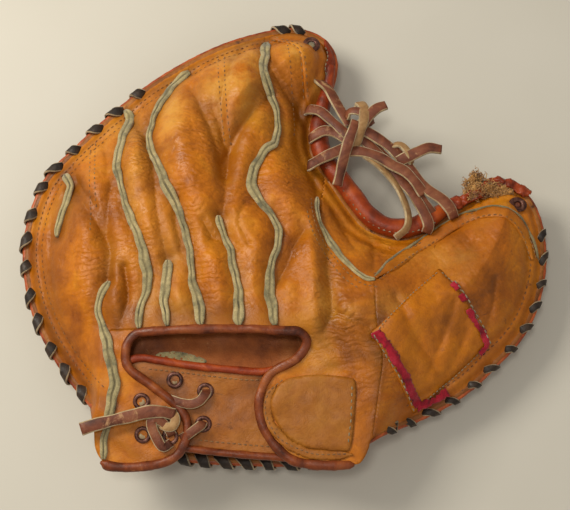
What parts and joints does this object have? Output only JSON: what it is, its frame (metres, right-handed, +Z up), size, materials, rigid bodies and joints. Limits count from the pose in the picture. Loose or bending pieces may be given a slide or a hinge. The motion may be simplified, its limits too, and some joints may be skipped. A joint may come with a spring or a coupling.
{
  "type": "baseball catchers mitt",
  "caption": "Round padded leather catcher's mitt for the left hand, with finger and thumb stalls, laced web, welted back and a laced wrist strap.",
  "frame": {"origin": "middle of the mitt's footprint, on the surface that the palm rests on", "axes": "+X to the thumb, +Y to the fingertips, +Z up through the back of the hand"},
  "size_m": [0.3095, 0.2708, 0.0595],
  "materials": {
    "tan_leather": "worn glossy tan-orange leather",
    "red_leather": "worn red leather",
    "brown_binding": "polished red-brown rolled leather",
    "lining_leather": "dark worn brown lining",
    "welt_suede": "grey-green raw-edged welt",
    "rawhide_lace": "brown rawhide lace with cream edges",
    "dark_lace": "near-black rawhide lace",
    "felt_padding": "coarse tan felt",
    "eyelet_metal": "dark tarnished metal"
  },
  "bodies": {
    "finger_section": {"palm_leather": "tan_leather", "palm_pad": "felt_padding", "heel_pad": "felt_padding", "rim_strip": "red_leather", "hand_lining": "lining_leather", "back_panel_outer": "tan_leather", "back_panel_ring": "tan_leather", "back_panel_middle": "tan_leather", "back_panel_index": "tan_leather", "crotch_gusset_index": "tan_leather", "welt_outer": "welt_suede", "welt_little": "welt_suede", "welt_ring": "welt_suede", "welt_short": "welt_suede", "welt_index": "welt_suede", "welt_stub": "welt_suede", "gusset_welt": "welt_suede", "index_tip_patch": "tan_leather", "index_tip_binding": "red_leather", "finger_back_pad": "felt_padding", "finger_stall_linings": "lining_leather", "crotch_roll_index": "red_leather", "heel_block_left": "felt_padding", "heel_block_right": "felt_padding", "wrist_binding": "brown_binding", "heel_flap_left": "tan_leather", "heel_flap_right": "tan_leather", "heel_welt": "welt_suede", "heel_flap_patch": "tan_leather", "strap_top_binding": "brown_binding", "strap_bottom_binding": "brown_binding", "wrist_strap": "tan_leather", "flap_eyelets": "eyelet_metal", "strap_eyelets": "eyelet_metal", "index_tip_eyelet": "eyelet_metal", "wrist_lace": "rawhide_lace", "wrist_lace_tail": "rawhide_lace", "web_knot": "rawhide_lace", "web_lace_index": "rawhide_lace", "web_lace_tails": "rawhide_lace", "perimeter_lace": "dark_lace"},
    "thumb_section": {"thumb_palm_pad": "felt_padding", "thumb_palm_leather": "tan_leather", "thumb_lining": "lining_leather", "thumb_rim_strip": "red_leather", "thumb_back_panel": "tan_leather", "crotch_gusset": "tan_leather", "thumb_seam_band": "tan_leather", "thumb_patch": "tan_leather", "thumb_patch_edging": "red_leather", "thumb_back_pad": "felt_padding", "thumb_stall_lining": "lining_leather", "frayed_stuffing": "felt_padding", "thumb_torn_edge": "red_leather", "crotch_roll_thumb": "red_leather", "thumb_tip_eyelet": "eyelet_metal", "web_lace_thumb": "rawhide_lace", "thumb_perimeter_lace": "dark_lace"}
  },
  "joints": [
    {"name": "thumb_close", "type": "hinge", "parent": "finger_section", "child": "thumb_section", "pos_m": [0.052, 0, 0.036], "axis": [0, 1, 0], "range_deg": [0, 35], "deforming": ["web_lace_thumb"]}
  ]
}
